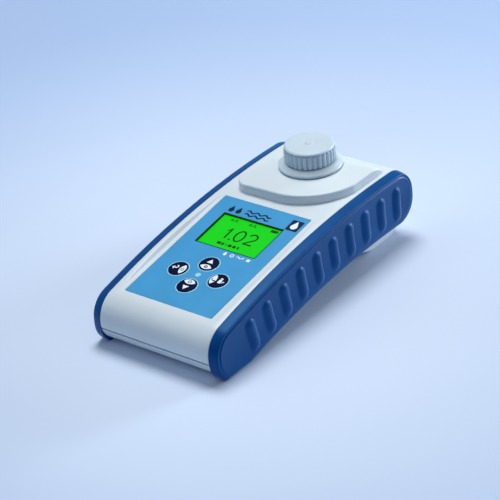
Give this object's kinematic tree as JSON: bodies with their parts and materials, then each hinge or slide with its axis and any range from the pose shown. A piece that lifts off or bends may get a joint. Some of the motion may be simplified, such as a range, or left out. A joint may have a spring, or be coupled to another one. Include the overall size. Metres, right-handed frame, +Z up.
{
  "type": "digital water tester",
  "caption": "Handheld photometer for pool and spa water: bent two-part case with rubber side grips, sloping display and key panel, and a capped glass vial in a chamber on a raised deck.",
  "frame": {"origin": "centre of the bounding box at its base, on the surface that the nose and the rear foot stand on", "axes": "+X to the right across the width, +Y from the nose to the back along the length, +Z up along the vial's axis"},
  "size_m": [0.0754, 0.155, 0.055],
  "materials": {
    "white_case": "fine moulded texture, satin",
    "seal_rubber": "matte",
    "blue_grip": "satin soft-touch",
    "overlay_film": "fine matte film",
    "clear_window": "clear, glossy",
    "green_display": "backlit liquid crystal",
    "light_guide": "frosted",
    "navy_key": "satin film",
    "bare_metal": "plated",
    "circuit_board": "solder mask",
    "black_plastic": "matte moulded",
    "led_lens": "clear epoxy",
    "filter_glass": "coated glass",
    "ribbon_film": "flat cable",
    "vial_glass": "clear borosilicate",
    "grey_cap": "satin moulded",
    "liner_foam": "matte",
    "cell_sleeve": "printed sleeve",
    "screw_steel": "zinc plated"
  },
  "bodies": {
    "case": {"upper_shell": "white_case", "lower_shell": "white_case", "housing_seal": "seal_rubber", "left_grip": "blue_grip", "right_grip": "blue_grip", "keypad_overlay": "overlay_film", "display_window": "clear_window", "lcd_panel": "green_display", "lcd_backlight": "light_guide", "dome_switches": "bare_metal", "main_board": "circuit_board", "control_chips": "black_plastic", "buzzer": "black_plastic", "vial_well": "black_plastic", "well_seal": "seal_rubber", "well_windows": "clear_window", "led_board": "circuit_board", "led_emitters": "led_lens", "light_filter": "filter_glass", "filter_holder": "black_plastic", "light_sensor": "bare_metal", "sensor_board": "circuit_board", "sensor_ribbon": "ribbon_film", "battery_tray": "black_plastic", "batteries": "cell_sleeve", "battery_contacts": "bare_metal", "battery_cover": "white_case", "battery_seal": "seal_rubber", "cover_screws": "screw_steel", "housing_screws": "screw_steel", "board_screws": "screw_steel"},
    "enter_button": {"enter_key": "navy_key"},
    "up_button": {"up_key": "navy_key"},
    "down_button": {"down_key": "navy_key"},
    "mode_button": {"mode_key": "navy_key"},
    "vial": {"glass_vial": "vial_glass", "light_shield_collar": "grey_cap"},
    "liner": {"cap_liner": "liner_foam"},
    "cap": {"vial_cap": "grey_cap"}
  },
  "joints": [
    {"name": "enter_press", "type": "slide", "parent": "case", "child": "enter_button", "axis": [0, 0.1478, -0.989], "range_m": [0, 0.0006], "stiffness_N_per_m": 2000, "springref_m": -0.0001},
    {"name": "up_press", "type": "slide", "parent": "case", "child": "up_button", "axis": [0, 0.1478, -0.989], "range_m": [0, 0.0006], "stiffness_N_per_m": 2000, "springref_m": -0.0001},
    {"name": "down_press", "type": "slide", "parent": "case", "child": "down_button", "axis": [0, 0.1478, -0.989], "range_m": [0, 0.0006], "stiffness_N_per_m": 2000, "springref_m": -0.0001},
    {"name": "mode_press", "type": "slide", "parent": "case", "child": "mode_button", "axis": [0, 0.1478, -0.989], "range_m": [0, 0.0006], "stiffness_N_per_m": 2000, "springref_m": -0.0001},
    {"name": "vial_lift", "type": "slide", "parent": "case", "child": "vial", "axis": [0, 0, 1], "range_m": [0, 0.06]},
    {"name": "cap_rise", "type": "slide", "parent": "vial", "child": "liner", "axis": [0, 0, 1], "range_m": [0, 0.006]},
    {"name": "cap_turn", "type": "hinge", "parent": "liner", "child": "cap", "pos_m": [0, 0.0459, 0.05], "axis": [0, 0, 1], "range_deg": [0, 720]}
  ],
  "couplings": [
    {"joint": "cap_rise", "follows": "cap_turn", "m_per_rad": 0.00047746}
  ]
}
